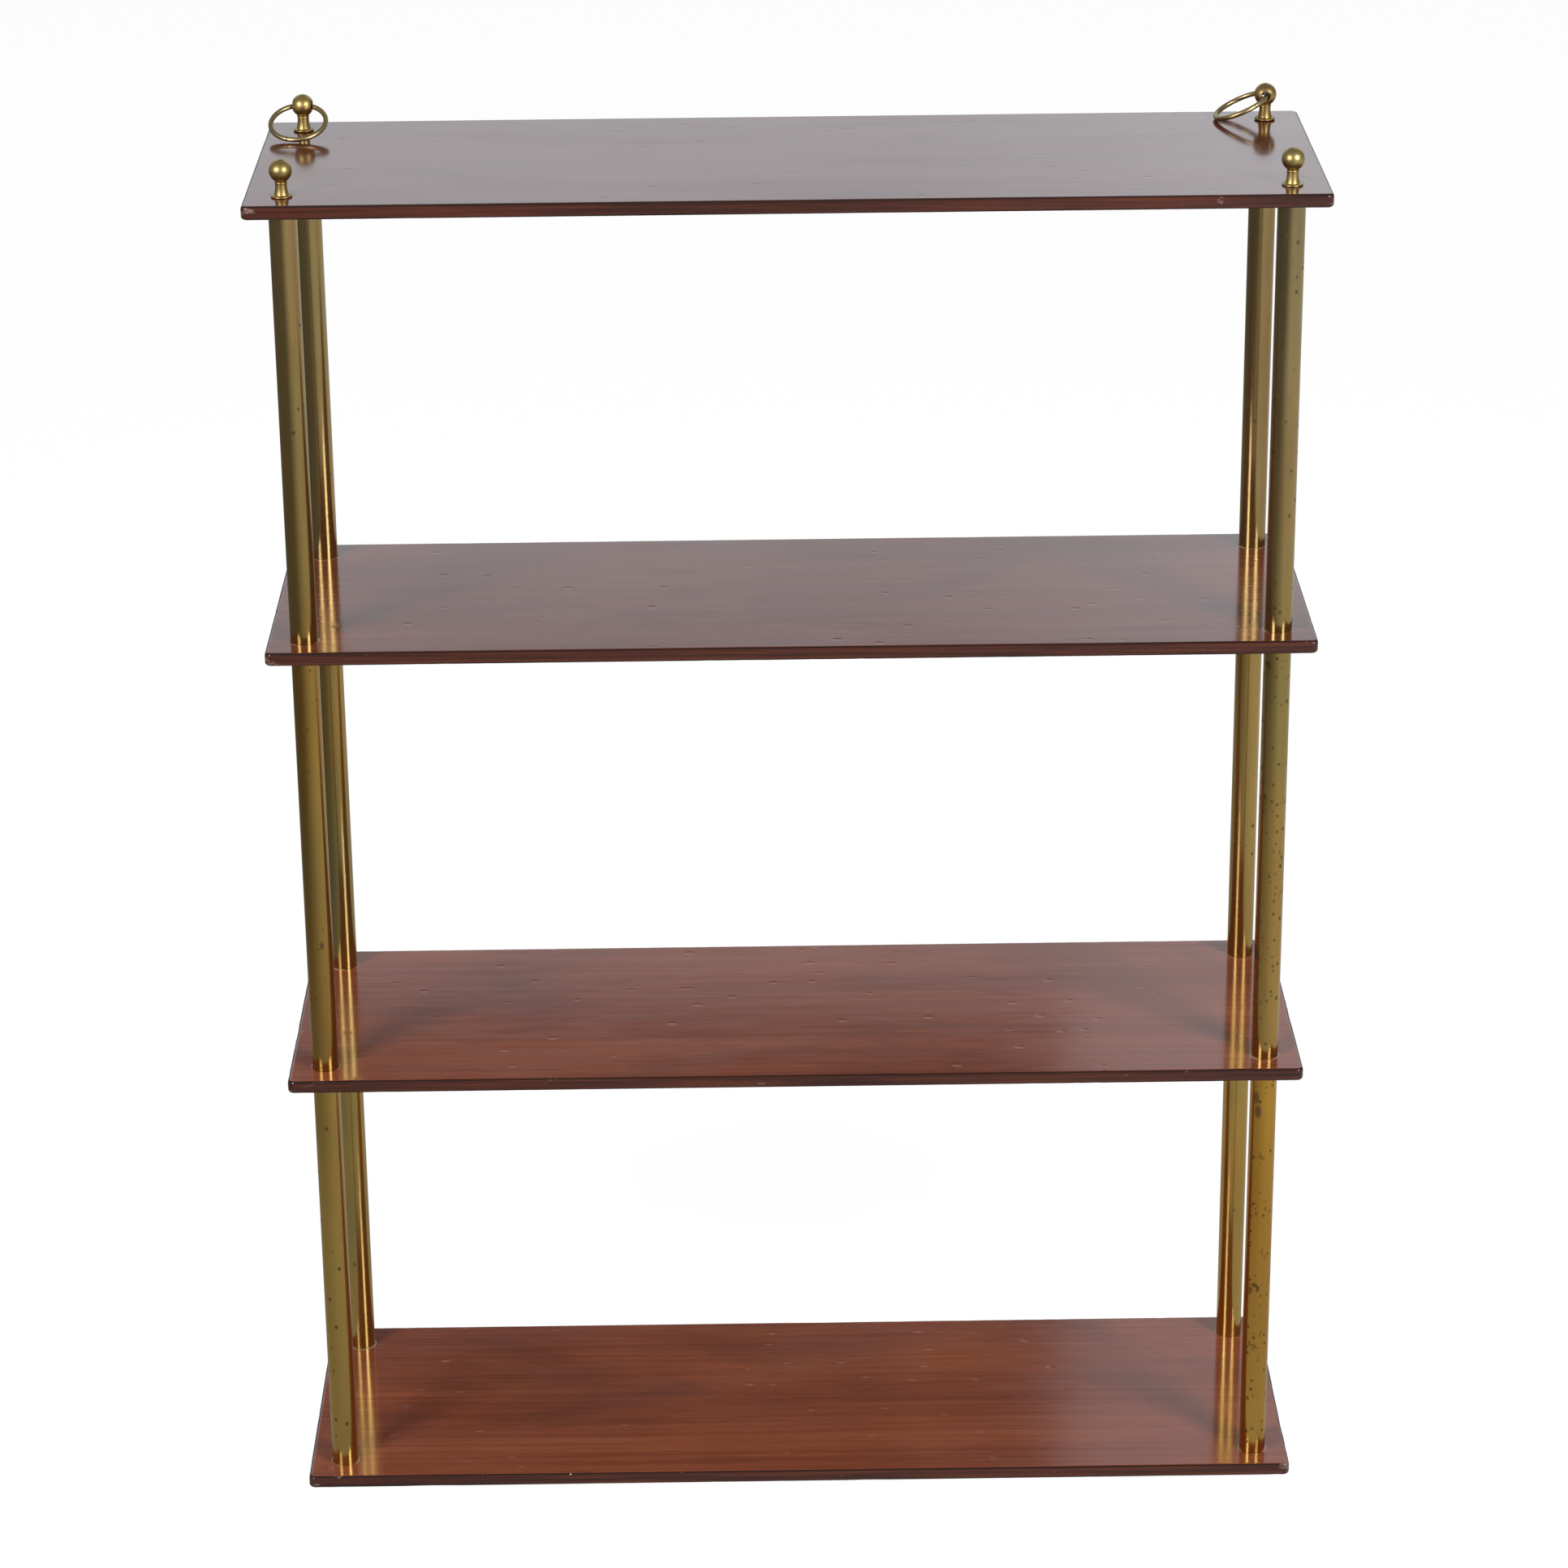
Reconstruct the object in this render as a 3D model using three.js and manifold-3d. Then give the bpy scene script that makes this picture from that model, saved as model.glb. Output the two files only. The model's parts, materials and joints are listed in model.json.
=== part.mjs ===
// A tiered hanging shelf: four thin mahogany boards held apart by brass tube posts.
// Three bays stand one over another. A steel tie rod runs down through each column of tubes,
// from a turned brass finial on the top board to a slotted brass nut under the bottom board,
// and draws the whole shelf together. The two rear finials are cross-drilled and carry a
// brass ring each, by which the shelf hangs on a wall.
//
// Units are millimetres. X runs along the boards, -Y is the front, +Z is up.
// The origin is the centre of the footprint, in the plane of the four nuts' undersides.

import * as THREE from "three";
import { mergeVertices } from "three/addons/utils/BufferGeometryUtils.js";
import Module from "manifold-3d";

const wasm = await Module();
wasm.setup();

// Driving dimensions.

const BOARD = { width: 610, depth: 192, thickness: 8, cornerRadius: 4, arris: 1.8 };
const BAY_HEIGHTS = [264, 266, 257.5]; // clear heights between the boards, lowest bay first
const POST_INSET = 21.5; // from a board's edges to the axis of a post
const TUBE = { radius: 8, wall: 1 };
const SEAT = { depth: 1, gap: 0.3 }; // the shallow ring-shaped seats that locate the tube ends
const ROD = { radius: 2, holeRadius: 2.6, threadHoleRadius: 2.3, chamfer: 0.4, endGap: 0.3 };
const NUT = { radius: 7, height: 4.5, stand: 2, edge: 0.8, web: 0.6, pocketGap: 0.3 };
const NUT_SLOT = { width: 1.2, depth: 1 };
const FINIAL = { baseRadius: 5.7, ballRadius: 6.5, ballHeight: 14.9, holeDepth: 7.6, ringHoleRadius: 2.7 };
const SWIVEL_GAP = 0.3; // under a rear finial, which is turned back a little from tight
const RING = { radius: 16.2, wire: 1.45, offset: 0.57, sink: 0.5, seam: 0.3, restGap: 0.3 };

// How far each rear finial is turned, and where its ring's butt joint has come to lie.
const LEFT_TURN = THREE.MathUtils.degToRad(-7);
const RIGHT_TURN = THREE.MathUtils.degToRad(-91);
const LEFT_SEAM = THREE.MathUtils.degToRad(-14);
const RIGHT_SEAM = THREE.MathUtils.degToRad(118);

// The curves of a finial's outline above its base, each an arc about a point [radius, height].
// Angles are in degrees, from straight out towards straight up.
const FLANGE_RIM = { radius: 5.6, height: 0.6, size: 0.5, from: -70, to: 80, steps: 3 };
const STEM_SWEEP = { radius: 12.58, height: 6.1, size: 9.4, from: 211, to: 180, steps: 4 };
const NECK = [3.22, 7.45];
const BEAD = { radius: 3.15, height: 8.2, size: 0.5, from: -60, to: 60, steps: 3 };
const COLLAR = [
  [3.3, 8.85],
  [3.6, 9.35],
];
const BALL = { radius: 0, height: FINIAL.ballHeight, size: FINIAL.ballRadius, from: -55, to: 90, steps: 9 };

// Facets round each kind of piece, and steps across the curves of a board's edge and a nut's.
const FACETS = { tube: 24, seat: 20, rod: 12, nut: 20, finial: 24, ringHole: 16, wire: 8, ring: 36 };
const EDGE_STEPS = { boardCorner: 5, boardArris: 2, nut: 3 };

// Heights worked out from the dimensions above.
const boardBottoms = [NUT.stand];
for (const bay of BAY_HEIGHTS) {
  boardBottoms.push(boardBottoms.at(-1) + BOARD.thickness + bay);
}
const topFace = boardBottoms.at(-1) + BOARD.thickness;

const postX = BOARD.width / 2 - POST_INSET;
const postY = BOARD.depth / 2 - POST_INSET;
const POSTS = [
  { name: "front_left", x: -postX, y: -postY },
  { name: "front_right", x: postX, y: -postY },
  { name: "rear_left", x: -postX, y: postY },
  { name: "rear_right", x: postX, y: postY },
];
const BOARD_NAMES = ["board_bottom", "board_lower", "board_upper", "board_top"];
const BAY_NAMES = ["lower", "middle", "upper"];

// Finishes.

const FINISHES = {
  mahogany: { color: 0x6b3226, roughness: 0.3, metalness: 0 },
  tubeBrass: { color: 0x7d6c38, roughness: 0.38, metalness: 1 },
  turnedBrass: { color: 0x8d7c44, roughness: 0.28, metalness: 1 },
  ringBrass: { color: 0x857650, roughness: 0.34, metalness: 1 },
  steel: { color: 0x6f6d68, roughness: 0.5, metalness: 1 },
};

function piece(name, geometry, finish) {
  const mesh = new THREE.Mesh(geometry, new THREE.MeshStandardMaterial(FINISHES[finish]));
  mesh.name = name;
  return mesh;
}

// Solid helpers.

// A closed outline of [radius, height] pairs, turned about the Z axis.
function turned(outline, facets) {
  const points = outline.map(([radius, height]) => new THREE.Vector2(radius, height));
  return new THREE.LatheGeometry(points, facets).rotateX(Math.PI / 2);
}

// Points along an arc in the outline plane, both ends included.
function arc({ radius, height, size, from, to, steps }) {
  const points = [];
  for (let i = 0; i <= steps; i += 1) {
    const angle = THREE.MathUtils.degToRad(from + ((to - from) * i) / steps);
    points.push([radius + size * Math.cos(angle), height + size * Math.sin(angle)]);
  }
  return points;
}

function solid(geometry) {
  const bare = geometry.clone();
  bare.deleteAttribute("normal");
  bare.deleteAttribute("uv");
  const merged = mergeVertices(bare, 1e-4);
  return new wasm.Manifold(
    new wasm.Mesh({
      numProp: 3,
      vertProperties: new Float32Array(merged.attributes.position.array),
      triVerts: new Uint32Array(merged.index.array),
    }),
  );
}

function cut(geometry, cutters) {
  let body = solid(geometry);
  for (const cutter of cutters) {
    body = body.subtract(solid(cutter));
  }
  const mesh = body.getMesh();
  const result = new THREE.BufferGeometry();
  result.setAttribute("position", new THREE.BufferAttribute(mesh.vertProperties, 3));
  result.setIndex(new THREE.BufferAttribute(mesh.triVerts, 1));
  result.computeVertexNormals();
  return result;
}

// Boards: rounded corners in plan, softened arrises, and a stepped hole at each post.

function boardBlank() {
  const outline = new THREE.Shape();
  const x = BOARD.width / 2;
  const y = BOARD.depth / 2;
  const r = BOARD.cornerRadius;
  outline.absarc(x - r, y - r, r, 0, Math.PI / 2);
  outline.absarc(-x + r, y - r, r, Math.PI / 2, Math.PI);
  outline.absarc(-x + r, -y + r, r, Math.PI, 1.5 * Math.PI);
  outline.absarc(x - r, -y + r, r, 1.5 * Math.PI, 2 * Math.PI);
  const slab = new THREE.ExtrudeGeometry(outline, {
    depth: BOARD.thickness - 2 * BOARD.arris,
    curveSegments: EDGE_STEPS.boardCorner,
    bevelThickness: BOARD.arris,
    bevelSize: BOARD.arris,
    bevelOffset: -BOARD.arris,
    bevelSegments: EDGE_STEPS.boardArris,
  });
  return slab.translate(0, 0, BOARD.arris);
}

// The hole for one post: a rod hole with a wider pocket at each end that needs one.
function postHole(x, y, below, above) {
  const beyond = 1;
  const outline = [[0, -beyond]];
  if (below) {
    outline.push([below.radius, -beyond], [below.radius, below.depth]);
  }
  outline.push([ROD.holeRadius, below ? below.depth : -beyond]);
  outline.push([ROD.holeRadius, above ? BOARD.thickness - above.depth : BOARD.thickness + beyond]);
  if (above) {
    outline.push([above.radius, BOARD.thickness - above.depth]);
    outline.push([above.radius, BOARD.thickness + beyond]);
  }
  outline.push([0, BOARD.thickness + beyond]);
  return turned(outline, FACETS.seat).translate(x, y, 0);
}

function board(level) {
  const tubeSeat = { radius: TUBE.radius + SEAT.gap, depth: SEAT.depth };
  const nutPocket = { radius: NUT.radius + NUT.pocketGap, depth: NUT.height - NUT.stand };
  const below = level === 0 ? nutPocket : tubeSeat;
  const above = level === BOARD_NAMES.length - 1 ? null : tubeSeat;
  const holes = POSTS.map((post) => postHole(post.x, post.y, below, above));
  const mesh = piece(BOARD_NAMES[level], cut(boardBlank(), holes), "mahogany");
  mesh.position.z = boardBottoms[level];
  return mesh;
}

// Tubes: plain drawn brass, square-ended, one for each post of each bay.

function tube(bay, post) {
  const length = BAY_HEIGHTS[bay] + 2 * SEAT.depth;
  const bore = TUBE.radius - TUBE.wall;
  const wall = [
    [bore, 0],
    [TUBE.radius, 0],
    [TUBE.radius, length],
    [bore, length],
    [bore, 0],
  ];
  const mesh = piece(`tube_${BAY_NAMES[bay]}_${post.name}`, turned(wall, FACETS.tube), "tubeBrass");
  mesh.position.set(post.x, post.y, boardBottoms[bay] + BOARD.thickness - SEAT.depth);
  return mesh;
}

// Tie rods: from inside the nut to inside the finial.

const nutBoreFloor = NUT_SLOT.depth + NUT.web;
const rodBottom = nutBoreFloor + ROD.endGap;
const rodTop = topFace + FINIAL.holeDepth - ROD.endGap;

function rod(post) {
  const { radius, chamfer } = ROD;
  const outline = [
    [0, rodBottom],
    [radius - chamfer, rodBottom],
    [radius, rodBottom + chamfer],
    [radius, rodTop - chamfer],
    [radius - chamfer, rodTop],
    [0, rodTop],
  ];
  const mesh = piece(`rod_${post.name}`, turned(outline, FACETS.rod), "steel");
  mesh.position.set(post.x, post.y, 0);
  return mesh;
}

// Nuts: low slotted discs let into the bottom board, on which the shelf can also stand.

function nut(post) {
  const { radius, height, edge } = NUT;
  const edgeRound = { radius: radius - edge, height: edge, size: edge, from: -90, to: 0 };
  const outline = [
    [0, 0],
    ...arc({ ...edgeRound, steps: EDGE_STEPS.nut }),
    [radius, height],
    [ROD.threadHoleRadius, height],
    [ROD.threadHoleRadius, nutBoreFloor],
    [0, nutBoreFloor],
  ];
  const slotLength = 3 * radius;
  const slot = new THREE.BoxGeometry(slotLength, NUT_SLOT.width, 2 * NUT_SLOT.depth);
  const mesh = piece(`nut_${post.name}`, cut(turned(outline, FACETS.nut), [slot]), "turnedBrass");
  mesh.position.set(post.x, post.y, 0);
  return mesh;
}

// Finials: a base flange, a waisted stem, a small bead and a ball, tapped from below.

const FINIAL_OUTLINE = [
  [0, FINIAL.holeDepth],
  [ROD.threadHoleRadius, FINIAL.holeDepth],
  [ROD.threadHoleRadius, 0],
  [FINIAL.baseRadius, 0],
  ...arc(FLANGE_RIM),
  ...arc(STEM_SWEEP),
  NECK,
  ...arc(BEAD),
  ...COLLAR,
  ...arc(BALL),
];

function finial(post) {
  const blank = turned(FINIAL_OUTLINE, FACETS.finial);
  const carriesRing = post.y > 0;
  const ringHole = new THREE.CylinderGeometry(
    FINIAL.ringHoleRadius,
    FINIAL.ringHoleRadius,
    3 * FINIAL.ballRadius,
    FACETS.ringHole,
  );
  ringHole.rotateZ(Math.PI / 2).translate(0, 0, FINIAL.ballHeight);
  return piece(`finial_${post.name}`, carriesRing ? cut(blank, [ringHole]) : blank, "turnedBrass");
}

// Rings: round wire bent to a circle with its ends butted, in the XY plane.
// The finial's hole runs along X through the origin. The wire rests low in it and the ring
// lies to -Y.

class RingLine extends THREE.Curve {
  constructor(seamAngle) {
    super();
    this.seamAngle = seamAngle;
  }

  getPoint(t, target = new THREE.Vector3()) {
    const gap = RING.seam / RING.radius;
    const angle = this.seamAngle + gap / 2 + t * (2 * Math.PI - gap);
    return target.set(RING.radius * Math.sin(angle), -RING.radius * Math.cos(angle), 0);
  }
}

const ringCentre = RING.radius - RING.offset; // from the hole's axis to the ring's centre

function ring(name, seamAngle) {
  const section = new THREE.Shape();
  for (let i = 0; i < FACETS.wire; i += 1) {
    const angle = (2 * Math.PI * i) / FACETS.wire;
    const point = [RING.wire * Math.cos(angle), RING.wire * Math.sin(angle)];
    if (i === 0) {
      section.moveTo(...point);
    } else {
      section.lineTo(...point);
    }
  }
  const wire = new THREE.ExtrudeGeometry(section, {
    steps: FACETS.ring,
    extrudePath: new RingLine(seamAngle),
  });
  return piece(name, wire.translate(0, -ringCentre, -RING.sink), "ringBrass");
}

// A rear finial stands in its own group, turned about the rod. Its ring hangs in a second
// group at the ball's centre, laid forward until the far side of the ring meets the board.
function rearFinial(post, turn, ringName, seamAngle) {
  const swivel = new THREE.Group();
  swivel.position.set(post.x, post.y, topFace + SWIVEL_GAP);
  swivel.rotation.z = turn;
  swivel.add(finial(post));
  const drop = SWIVEL_GAP + FINIAL.ballHeight - RING.wire - RING.restGap;
  const hinge = new THREE.Group();
  hinge.position.z = FINIAL.ballHeight;
  const reach = ringCentre + RING.radius;
  const lean = Math.atan2(RING.sink, reach);
  hinge.rotation.x = Math.asin(drop / Math.hypot(reach, RING.sink)) - lean;
  hinge.add(ring(ringName, seamAngle));
  swivel.add(hinge);
  return swivel;
}

function frontFinial(post) {
  const mesh = finial(post);
  mesh.position.set(post.x, post.y, topFace);
  return mesh;
}

// Assembly.

const shelf = new THREE.Group();

for (let level = 0; level < BOARD_NAMES.length; level += 1) {
  shelf.add(board(level));
}

for (const post of POSTS) {
  for (let bay = 0; bay < BAY_NAMES.length; bay += 1) {
    shelf.add(tube(bay, post));
  }
  shelf.add(rod(post), nut(post));
}

const [frontLeft, frontRight, rearLeft, rearRight] = POSTS;
shelf.add(frontFinial(frontLeft), frontFinial(frontRight));
shelf.add(rearFinial(rearLeft, LEFT_TURN, "ring_left", LEFT_SEAM));
shelf.add(rearFinial(rearRight, RIGHT_TURN, "ring_right", RIGHT_SEAM));

export default shelf;
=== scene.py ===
# %% [markdown]
# # A hanging shelf in mahogany and brass
# Four thin polished boards are held apart by twelve brass tubes. A steel rod runs down
# through each column of tubes and pulls the shelf together, between a turned finial on top
# and a slotted nut underneath. Two brass rings at the back hang it on a wall.
#
# The CAD model is the frame that everything here is built on. Each visible piece is made
# again with smooth, fine surfaces in exactly the place the frame gives, because the CAD
# solids have flat facets. The tie rods are hidden, so they keep their CAD shape.

# %% Load the frame
import json
import math

import bmesh
import bpy
from mathutils import Matrix, Vector, noise


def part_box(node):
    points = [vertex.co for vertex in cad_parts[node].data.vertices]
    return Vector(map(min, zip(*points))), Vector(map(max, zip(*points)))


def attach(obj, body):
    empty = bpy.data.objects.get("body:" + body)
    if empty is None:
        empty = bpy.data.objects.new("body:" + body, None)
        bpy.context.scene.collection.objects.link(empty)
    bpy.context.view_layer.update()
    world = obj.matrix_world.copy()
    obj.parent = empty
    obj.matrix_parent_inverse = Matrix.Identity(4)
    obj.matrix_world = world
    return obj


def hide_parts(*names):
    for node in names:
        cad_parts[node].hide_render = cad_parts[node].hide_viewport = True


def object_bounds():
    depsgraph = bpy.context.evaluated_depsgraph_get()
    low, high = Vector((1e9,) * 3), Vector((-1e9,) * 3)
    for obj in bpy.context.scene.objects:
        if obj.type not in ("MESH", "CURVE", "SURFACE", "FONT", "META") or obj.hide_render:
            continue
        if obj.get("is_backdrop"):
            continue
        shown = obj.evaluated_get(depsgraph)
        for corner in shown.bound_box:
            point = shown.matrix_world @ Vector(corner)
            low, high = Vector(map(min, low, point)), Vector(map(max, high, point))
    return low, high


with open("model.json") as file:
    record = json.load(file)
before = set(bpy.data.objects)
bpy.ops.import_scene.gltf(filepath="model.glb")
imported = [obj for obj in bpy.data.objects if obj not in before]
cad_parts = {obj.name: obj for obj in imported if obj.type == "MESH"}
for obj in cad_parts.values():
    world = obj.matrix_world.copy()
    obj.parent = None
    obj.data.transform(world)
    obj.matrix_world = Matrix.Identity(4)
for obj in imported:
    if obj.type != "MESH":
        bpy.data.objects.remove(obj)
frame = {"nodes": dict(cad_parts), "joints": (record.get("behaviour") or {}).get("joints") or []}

cad_low, cad_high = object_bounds()
MM = 0.001
TURN = 2 * math.pi  # a full turn, in radians
print("frame box in mm:", [round(x / MM, 1) for x in (cad_high - cad_low)])

# %% [markdown]
# ## Reading the frame
# The boards' and tubes' sizes and the posts' places come from the packed model. The boards
# are the nodes whose names start with board, and the posts stand where the lowest tubes do.

# %% Boards and posts
BOARDS = sorted((n for n in frame["nodes"] if n.startswith("board_")), key=lambda n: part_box(n)[0].z)
TUBES = sorted(n for n in frame["nodes"] if n.startswith("tube_"))
CORNERS = ("front_left", "front_right", "rear_left", "rear_right")


def middle(node):
    low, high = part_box(node)
    return (low + high) / 2


def spread(node):
    low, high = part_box(node)
    return high - low


posts = {corner: middle(f"rod_{corner}") for corner in CORNERS}
tube_radius = spread(TUBES[0]).x / 2
bottom_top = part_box("board_bottom")[1].z
print("boards:", BOARDS, "tube radius mm:", round(tube_radius / MM, 2))

# %% [markdown]
# ## The camera
# The shelf is seen from in front and above, by a long lens that keeps the uprights nearly
# parallel. The camera stands about two and a half metres away and looks down 22 degrees, so
# the boards show more of their tops the lower they are.

# %% Place the camera
CAMERA_AWAY = 2.6465
CAMERA_SIDE = -0.0227
CAMERA_ABOVE = 1.4996  # above the top of the bottom board
LOOK_DOWN = 0.3867  # radians
LOOK_ASIDE = -0.0068
ROLL = -0.010
LENS = 108.14
SENSOR = 36.0

camera_data = bpy.data.cameras.new("camera")
camera_data.lens = LENS
camera_data.sensor_width = SENSOR
camera = bpy.data.objects.new("camera", camera_data)
bpy.context.scene.collection.objects.link(camera)
camera.location = (CAMERA_SIDE, -CAMERA_AWAY, bottom_top + CAMERA_ABOVE)
aim = Matrix.Rotation(LOOK_ASIDE, 4, "Z") @ Matrix.Rotation(math.pi / 2 - LOOK_DOWN, 4, "X")
camera.rotation_euler = (aim @ Matrix.Rotation(ROLL, 4, "Z")).to_euler()
bpy.context.scene.camera = camera
print("camera at", [round(v, 3) for v in camera.location])

# %% [markdown]
# ## The room
# Brass and polish show little of their own: they show the room. So the room is set out as a
# studio is, with a pale floor, two soft boxes in front at either side, and a white wall far
# behind. The top board mirrors the wall at a low angle and looks pale. The bottom
# board looks over the wall's top into the dark, so it keeps its red. The tubes, seen from
# above, mirror the floor in front of them.
#
# Real cards would stand in the way of the lights, so these are seen by reflections only.
# The camera itself sees a pale floor and a pale room, with nothing else in them.

# %% Floor and surroundings
view_settings = bpy.context.scene.view_settings
view_settings.view_transform = "Standard"
view_settings.look = "None"

FLOOR_REACH = 30.0
FLOOR_GLOW = 0.955
FLOOR_SHADE = 0.14
ROOM_LIGHT = 0.12
SHELL_AWAY = 40.0
MIRRORED_ROOM_AWAY = 14.0
MIRRORED_ROOM_GLOW = 0.30


def flat_sheet(name, corners):
    mesh = bpy.data.meshes.new(name)
    mesh.from_pydata(corners, [], [tuple(range(len(corners)))])
    sheet = bpy.data.objects.new(name, mesh)
    bpy.context.scene.collection.objects.link(sheet)
    return sheet


def shell(name, radius):
    ball = bmesh.new()
    bmesh.ops.create_uvsphere(ball, u_segments=48, v_segments=24, radius=radius)
    mesh = bpy.data.meshes.new(name)
    ball.to_mesh(mesh)
    ball.free()
    sheet = bpy.data.objects.new(name, mesh)
    bpy.context.scene.collection.objects.link(sheet)
    return sheet


def seen_by(sheet, camera=False, reflections=False):
    sheet.visible_camera = camera
    sheet.visible_glossy = reflections
    sheet.visible_diffuse = False
    sheet.visible_shadow = False
    sheet.visible_transmission = False


def glow(name, strength, color=(1.0, 1.0, 1.0)):
    material = bpy.data.materials.new(name)
    material.use_nodes = True
    tree = material.node_tree
    tree.nodes.clear()
    emission = tree.nodes.new("ShaderNodeEmission")
    emission.inputs["Color"].default_value = (*color, 1.0)
    emission.inputs["Strength"].default_value = strength
    output = tree.nodes.new("ShaderNodeOutputMaterial")
    tree.links.new(emission.outputs["Emission"], output.inputs["Surface"])
    return material, tree, emission


def square(reach, height):
    corners = ((-1, -1), (1, -1), (1, 1), (-1, 1))
    return [(reach * x, reach * y, height) for x, y in corners]


floor = flat_sheet("floor", square(FLOOR_REACH, 0))
floor_material = bpy.data.materials.new("floor_paint")
floor_material.use_nodes = True
floor_paint = floor_material.node_tree.nodes["Principled BSDF"]
floor_paint.inputs["Base Color"].default_value = (FLOOR_SHADE, FLOOR_SHADE, FLOOR_SHADE, 1.0)
floor_paint.inputs["Roughness"].default_value = 1.0
floor_paint.inputs["Specular IOR Level"].default_value = 0.0
floor_paint.inputs["Emission Color"].default_value = (1.0, 1.0, 1.0, 1.0)
floor_paint.inputs["Emission Strength"].default_value = FLOOR_GLOW
floor.data.materials.append(floor_material)
seen_by(floor, camera=True)
floor.visible_shadow = True

pale_room = shell("pale_room", SHELL_AWAY)
pale_room.data.materials.append(glow("pale_room_glow", 1.0)[0])
seen_by(pale_room, camera=True)
mirrored_room = shell("mirrored_room", MIRRORED_ROOM_AWAY)
mirrored_room.data.materials.append(glow("mirrored_room_glow", MIRRORED_ROOM_GLOW)[0])
seen_by(mirrored_room, reflections=True)

world = bpy.data.worlds.new("room")
world.use_nodes = True
world.node_tree.nodes["Background"].inputs["Color"].default_value = (1, 1, 1, 1)
world.node_tree.nodes["Background"].inputs["Strength"].default_value = ROOM_LIGHT
bpy.context.scene.world = world
print("floor reaches", FLOOR_REACH, "m, room", SHELL_AWAY, "m")

# %% [markdown]
# ## The mirrored wall, gap and floor
# A polished board mirrors whatever stands low behind it. The wall is brightest in a band
# that the top board mirrors, weaker above, and weaker at its foot, which only a low view
# finds in the boards. A dark gap high in its middle stands in for the dark over a real
# wall, and the lower boards mirror that. The floor that the brass mirrors is dim at the
# left and bright at the right. Each is a plain glowing sheet, and fades across it do the
# shading, because lamps would need many trials.

# %% Wall
WALL_AWAY = 6.2
WALL_WIDE = 4.5
WALL_HIGH = 5.6
WALL_COLOR = (0.96, 1.0, 1.06)
WALL_GLOW = 1.28
WALL_TOP_GLOW = 0.80
WALL_TOP_FROM, WALL_TOP_TO = 2.44, 3.05
WALL_RIGHT_GLOW = 0.22
WALL_RIGHT_FROM, WALL_RIGHT_TO = 0.3, 1.0
WALL_FOOT_SHARE = 0.30
WALL_FOOT_FROM, WALL_FOOT_TO = 1.6, 2.15


def upright(left, right, away, low, high):
    return [(left, away, low), (right, away, low), (right, away, high), (left, away, high)]


def place_on(tree):
    """The sheet's own X, Y and Z, in metres, to shade it by."""
    where = tree.nodes.new("ShaderNodeTexCoord")
    split = tree.nodes.new("ShaderNodeSeparateXYZ")
    tree.links.new(where.outputs["Object"], split.inputs["Vector"])
    return split.outputs


def fade(tree, value, low, high, to_low, to_high):
    node = tree.nodes.new("ShaderNodeMapRange")
    for name, number in (("From Min", low), ("From Max", high), ("To Min", to_low), ("To Max", to_high)):
        node.inputs[name].default_value = number
    tree.links.new(value, node.inputs["Value"])
    return node.outputs["Result"]


wall = flat_sheet("white_wall", upright(-WALL_WIDE, WALL_WIDE, WALL_AWAY, 0, WALL_HIGH))
wall_glow, tree, emission = glow("wall_glow", WALL_GLOW, WALL_COLOR)
at = place_on(tree)
upward = fade(tree, at["Z"], WALL_TOP_FROM, WALL_TOP_TO, WALL_GLOW, WALL_TOP_GLOW)
rightward = fade(tree, at["X"], WALL_RIGHT_FROM, WALL_RIGHT_TO, 0.0, WALL_RIGHT_GLOW)
from_floor = fade(tree, at["Z"], WALL_FOOT_FROM, WALL_FOOT_TO, WALL_FOOT_SHARE, 1.0)
both = tree.nodes.new("ShaderNodeMath")
tree.links.new(upward, both.inputs[0])
tree.links.new(rightward, both.inputs[1])
shaded = tree.nodes.new("ShaderNodeMath")
shaded.operation = "MULTIPLY"
tree.links.new(both.outputs["Value"], shaded.inputs[0])
tree.links.new(from_floor, shaded.inputs[1])
tree.links.new(shaded.outputs["Value"], emission.inputs["Strength"])
wall.data.materials.append(wall_glow)
print("wall", 2 * WALL_WIDE, "m wide,", WALL_HIGH, "m high,", WALL_AWAY, "m behind")

# %% [markdown]
# ## The gap and the floor
# These are two more such sheets. The gap stands a little in front of the wall, so it needs
# no hole in it. The glowing floor lies just over the painted one, and only brass and polish
# see it.

# %% Dark gap and mirrored floor
GAP_AWAY = 6.0
GAP_LEFT, GAP_RIGHT = -1.0, 0.60
GAP_LOW, GAP_HIGH = 3.07, 5.6
GAP_GLOW = 0.03
gap = flat_sheet("dark_gap", upright(GAP_LEFT, GAP_RIGHT, GAP_AWAY, GAP_LOW, GAP_HIGH))
gap.data.materials.append(glow("gap_glow", GAP_GLOW)[0])

MIRRORED_FLOOR_LIFT = 0.2 * MM
MIRRORED_FLOOR_REACH = 9.0
FLOOR_LEFT, FLOOR_LEFT_GLOW = -1.2, 0.14
FLOOR_RIGHT, FLOOR_RIGHT_GLOW = 0.9, 0.60
mirrored_floor = flat_sheet("mirrored_floor", square(MIRRORED_FLOOR_REACH, MIRRORED_FLOOR_LIFT))
floor_glow, tree, emission = glow("mirrored_floor_glow", 1.0)
across = fade(tree, place_on(tree)["X"], FLOOR_LEFT, FLOOR_RIGHT, FLOOR_LEFT_GLOW, FLOOR_RIGHT_GLOW)
tree.links.new(across, emission.inputs["Strength"])
mirrored_floor.data.materials.append(floor_glow)

for card in (wall, gap, mirrored_floor):
    seen_by(card, reflections=True)
for sheet in (floor, pale_room, mirrored_room, wall, gap, mirrored_floor):
    sheet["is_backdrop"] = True
    print(sheet.name, "is part of the room")

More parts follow.
